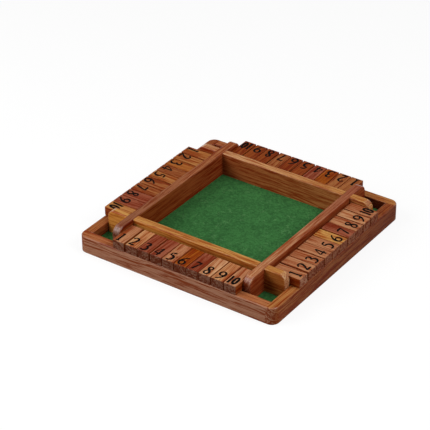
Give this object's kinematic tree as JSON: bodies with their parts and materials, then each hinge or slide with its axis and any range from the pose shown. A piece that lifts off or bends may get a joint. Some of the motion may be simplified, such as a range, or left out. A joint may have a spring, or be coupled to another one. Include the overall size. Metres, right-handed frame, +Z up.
{
  "type": "shut the box game",
  "caption": "Square four-player flip-tile number game: felt-floored hardwood tray, half-lapped lattice, and a row of numbered tiles hinged on a rod along each side.",
  "frame": {"origin": "centre of the underside, on the table", "axes": "+Z up, -Y towards the first player, +X to that player's right"},
  "size_m": [0.22, 0.22, 0.032],
  "materials": {
    "rail_wood": "satin lacquer",
    "wall_wood": "satin lacquer",
    "tile_wood": "satin lacquer",
    "panel_wood": "sanded",
    "felt": "felt",
    "steel": "drawn wire"
  },
  "bodies": {
    "tray": {"front_rail": "rail_wood", "right_rail": "rail_wood", "back_rail": "rail_wood", "left_rail": "rail_wood", "base_panel": "panel_wood", "felt": "felt", "front_wall": "wall_wood", "right_wall": "wall_wood", "back_wall": "wall_wood", "left_wall": "wall_wood", "front_rod": "steel", "right_rod": "steel", "back_rod": "steel", "left_rod": "steel", "panel_pins": "steel", "wall_pins": "steel"},
    "front_tile_1": {"front_tile_1": "tile_wood"},
    "front_tile_2": {"front_tile_2": "tile_wood"},
    "front_tile_3": {"front_tile_3": "tile_wood"},
    "front_tile_4": {"front_tile_4": "tile_wood"},
    "front_tile_5": {"front_tile_5": "tile_wood"},
    "front_tile_6": {"front_tile_6": "tile_wood"},
    "front_tile_7": {"front_tile_7": "tile_wood"},
    "front_tile_8": {"front_tile_8": "tile_wood"},
    "front_tile_9": {"front_tile_9": "tile_wood"},
    "front_tile_10": {"front_tile_10": "tile_wood"},
    "right_tile_1": {"right_tile_1": "tile_wood"},
    "right_tile_2": {"right_tile_2": "tile_wood"},
    "right_tile_3": {"right_tile_3": "tile_wood"},
    "right_tile_4": {"right_tile_4": "tile_wood"},
    "right_tile_5": {"right_tile_5": "tile_wood"},
    "right_tile_6": {"right_tile_6": "tile_wood"},
    "right_tile_7": {"right_tile_7": "tile_wood"},
    "right_tile_8": {"right_tile_8": "tile_wood"},
    "right_tile_9": {"right_tile_9": "tile_wood"},
    "right_tile_10": {"right_tile_10": "tile_wood"},
    "back_tile_1": {"back_tile_1": "tile_wood"},
    "back_tile_2": {"back_tile_2": "tile_wood"},
    "back_tile_3": {"back_tile_3": "tile_wood"},
    "back_tile_4": {"back_tile_4": "tile_wood"},
    "back_tile_5": {"back_tile_5": "tile_wood"},
    "back_tile_6": {"back_tile_6": "tile_wood"},
    "back_tile_7": {"back_tile_7": "tile_wood"},
    "back_tile_8": {"back_tile_8": "tile_wood"},
    "back_tile_9": {"back_tile_9": "tile_wood"},
    "back_tile_10": {"back_tile_10": "tile_wood"},
    "left_tile_1": {"left_tile_1": "tile_wood"},
    "left_tile_2": {"left_tile_2": "tile_wood"},
    "left_tile_3": {"left_tile_3": "tile_wood"},
    "left_tile_4": {"left_tile_4": "tile_wood"},
    "left_tile_5": {"left_tile_5": "tile_wood"},
    "left_tile_6": {"left_tile_6": "tile_wood"},
    "left_tile_7": {"left_tile_7": "tile_wood"},
    "left_tile_8": {"left_tile_8": "tile_wood"},
    "left_tile_9": {"left_tile_9": "tile_wood"},
    "left_tile_10": {"left_tile_10": "tile_wood"}
  },
  "joints": [
    {"name": "front_tile_1_hinge", "type": "hinge", "parent": "tray", "child": "front_tile_1", "pos_m": [-0.06252, -0.0847, 0.02275], "axis": [-1, 0, 0], "range_deg": [0, 105]},
    {"name": "front_tile_2_hinge", "type": "hinge", "parent": "tray", "child": "front_tile_2", "pos_m": [-0.04768, -0.0847, 0.02275], "axis": [-1, 0, 0], "range_deg": [0, 105]},
    {"name": "front_tile_3_hinge", "type": "hinge", "parent": "tray", "child": "front_tile_3", "pos_m": [-0.03413, -0.0847, 0.02275], "axis": [-1, 0, 0], "range_deg": [0, 105]},
    {"name": "front_tile_4_hinge", "type": "hinge", "parent": "tray", "child": "front_tile_4", "pos_m": [-0.01978, -0.0847, 0.02275], "axis": [-1, 0, 0], "range_deg": [0, 105]},
    {"name": "front_tile_5_hinge", "type": "hinge", "parent": "tray", "child": "front_tile_5", "pos_m": [-0.00613, -0.0847, 0.02275], "axis": [-1, 0, 0], "range_deg": [0, 105]},
    {"name": "front_tile_6_hinge", "type": "hinge", "parent": "tray", "child": "front_tile_6", "pos_m": [0.00752, -0.0847, 0.02275], "axis": [-1, 0, 0], "range_deg": [0, 105]},
    {"name": "front_tile_7_hinge", "type": "hinge", "parent": "tray", "child": "front_tile_7", "pos_m": [0.02098, -0.0847, 0.02275], "axis": [-1, 0, 0], "range_deg": [0, 105]},
    {"name": "front_tile_8_hinge", "type": "hinge", "parent": "tray", "child": "front_tile_8", "pos_m": [0.03453, -0.0847, 0.02275], "axis": [-1, 0, 0], "range_deg": [0, 105]},
    {"name": "front_tile_9_hinge", "type": "hinge", "parent": "tray", "child": "front_tile_9", "pos_m": [0.04827, -0.0847, 0.02275], "axis": [-1, 0, 0], "range_deg": [0, 105]},
    {"name": "front_tile_10_hinge", "type": "hinge", "parent": "tray", "child": "front_tile_10", "pos_m": [0.06212, -0.0847, 0.02275], "axis": [-1, 0, 0], "range_deg": [0, 105]},
    {"name": "right_tile_1_hinge", "type": "hinge", "parent": "tray", "child": "right_tile_1", "pos_m": [0.0847, -0.06232, 0.02275], "axis": [0, -1, 0], "range_deg": [0, 105]},
    {"name": "right_tile_2_hinge", "type": "hinge", "parent": "tray", "child": "right_tile_2", "pos_m": [0.0847, -0.04777, 0.02275], "axis": [0, -1, 0], "range_deg": [0, 105]},
    {"name": "right_tile_3_hinge", "type": "hinge", "parent": "tray", "child": "right_tile_3", "pos_m": [0.0847, -0.03433, 0.02275], "axis": [0, -1, 0], "range_deg": [0, 105]},
    {"name": "right_tile_4_hinge", "type": "hinge", "parent": "tray", "child": "right_tile_4", "pos_m": [0.0847, -0.02017, 0.02275], "axis": [0, -1, 0], "range_deg": [0, 105]},
    {"name": "right_tile_5_hinge", "type": "hinge", "parent": "tray", "child": "right_tile_5", "pos_m": [0.0847, -0.00673, 0.02275], "axis": [0, -1, 0], "range_deg": [0, 105]},
    {"name": "right_tile_6_hinge", "type": "hinge", "parent": "tray", "child": "right_tile_6", "pos_m": [0.0847, 0.00673, 0.02275], "axis": [0, -1, 0], "range_deg": [0, 105]},
    {"name": "right_tile_7_hinge", "type": "hinge", "parent": "tray", "child": "right_tile_7", "pos_m": [0.0847, 0.02098, 0.02275], "axis": [0, -1, 0], "range_deg": [0, 105]},
    {"name": "right_tile_8_hinge", "type": "hinge", "parent": "tray", "child": "right_tile_8", "pos_m": [0.0847, 0.03442, 0.02275], "axis": [0, -1, 0], "range_deg": [0, 105]},
    {"name": "right_tile_9_hinge", "type": "hinge", "parent": "tray", "child": "right_tile_9", "pos_m": [0.0847, 0.04838, 0.02275], "axis": [0, -1, 0], "range_deg": [0, 105]},
    {"name": "right_tile_10_hinge", "type": "hinge", "parent": "tray", "child": "right_tile_10", "pos_m": [0.0847, 0.06252, 0.02275], "axis": [0, -1, 0], "range_deg": [0, 105]},
    {"name": "back_tile_1_hinge", "type": "hinge", "parent": "tray", "child": "back_tile_1", "pos_m": [0.06252, 0.0847, 0.02275], "axis": [1, 0, 0], "range_deg": [0, 105]},
    {"name": "back_tile_2_hinge", "type": "hinge", "parent": "tray", "child": "back_tile_2", "pos_m": [0.04908, 0.0847, 0.02275], "axis": [1, 0, 0], "range_deg": [0, 105]},
    {"name": "back_tile_3_hinge", "type": "hinge", "parent": "tray", "child": "back_tile_3", "pos_m": [0.03513, 0.0847, 0.02275], "axis": [1, 0, 0], "range_deg": [0, 105]},
    {"name": "back_tile_4_hinge", "type": "hinge", "parent": "tray", "child": "back_tile_4", "pos_m": [0.02167, 0.0847, 0.02275], "axis": [1, 0, 0], "range_deg": [0, 105]},
    {"name": "back_tile_5_hinge", "type": "hinge", "parent": "tray", "child": "back_tile_5", "pos_m": [0.00743, 0.0847, 0.02275], "axis": [1, 0, 0], "range_deg": [0, 105]},
    {"name": "back_tile_6_hinge", "type": "hinge", "parent": "tray", "child": "back_tile_6", "pos_m": [-0.00662, 0.0847, 0.02275], "axis": [1, 0, 0], "range_deg": [0, 105]},
    {"name": "back_tile_7_hinge", "type": "hinge", "parent": "tray", "child": "back_tile_7", "pos_m": [-0.02017, 0.0847, 0.02275], "axis": [1, 0, 0], "range_deg": [0, 105]},
    {"name": "back_tile_8_hinge", "type": "hinge", "parent": "tray", "child": "back_tile_8", "pos_m": [-0.03472, 0.0847, 0.02275], "axis": [1, 0, 0], "range_deg": [0, 105]},
    {"name": "back_tile_9_hinge", "type": "hinge", "parent": "tray", "child": "back_tile_9", "pos_m": [-0.04827, 0.0847, 0.02275], "axis": [1, 0, 0], "range_deg": [0, 105]},
    {"name": "back_tile_10_hinge", "type": "hinge", "parent": "tray", "child": "back_tile_10", "pos_m": [-0.06243, 0.0847, 0.02275], "axis": [1, 0, 0], "range_deg": [0, 105]},
    {"name": "left_tile_1_hinge", "type": "hinge", "parent": "tray", "child": "left_tile_1", "pos_m": [-0.0847, 0.06202, 0.02275], "axis": [0, 1, 0], "range_deg": [0, 105]},
    {"name": "left_tile_2_hinge", "type": "hinge", "parent": "tray", "child": "left_tile_2", "pos_m": [-0.0847, 0.04777, 0.02275], "axis": [0, 1, 0], "range_deg": [0, 105]},
    {"name": "left_tile_3_hinge", "type": "hinge", "parent": "tray", "child": "left_tile_3", "pos_m": [-0.0847, 0.03363, 0.02275], "axis": [0, 1, 0], "range_deg": [0, 105]},
    {"name": "left_tile_4_hinge", "type": "hinge", "parent": "tray", "child": "left_tile_4", "pos_m": [-0.0847, 0.02007, 0.02275], "axis": [0, 1, 0], "range_deg": [0, 105]},
    {"name": "left_tile_5_hinge", "type": "hinge", "parent": "tray", "child": "left_tile_5", "pos_m": [-0.0847, 0.00632, 0.02275], "axis": [0, 1, 0], "range_deg": [0, 105]},
    {"name": "left_tile_6_hinge", "type": "hinge", "parent": "tray", "child": "left_tile_6", "pos_m": [-0.0847, -0.00773, 0.02275], "axis": [0, 1, 0], "range_deg": [0, 105]},
    {"name": "left_tile_7_hinge", "type": "hinge", "parent": "tray", "child": "left_tile_7", "pos_m": [-0.0847, -0.02167, 0.02275], "axis": [0, 1, 0], "range_deg": [0, 105]},
    {"name": "left_tile_8_hinge", "type": "hinge", "parent": "tray", "child": "left_tile_8", "pos_m": [-0.0847, -0.03562, 0.02275], "axis": [0, 1, 0], "range_deg": [0, 105]},
    {"name": "left_tile_9_hinge", "type": "hinge", "parent": "tray", "child": "left_tile_9", "pos_m": [-0.0847, -0.04908, 0.02275], "axis": [0, 1, 0], "range_deg": [0, 105]},
    {"name": "left_tile_10_hinge", "type": "hinge", "parent": "tray", "child": "left_tile_10", "pos_m": [-0.0847, -0.06252, 0.02275], "axis": [0, 1, 0], "range_deg": [0, 105]}
  ]
}
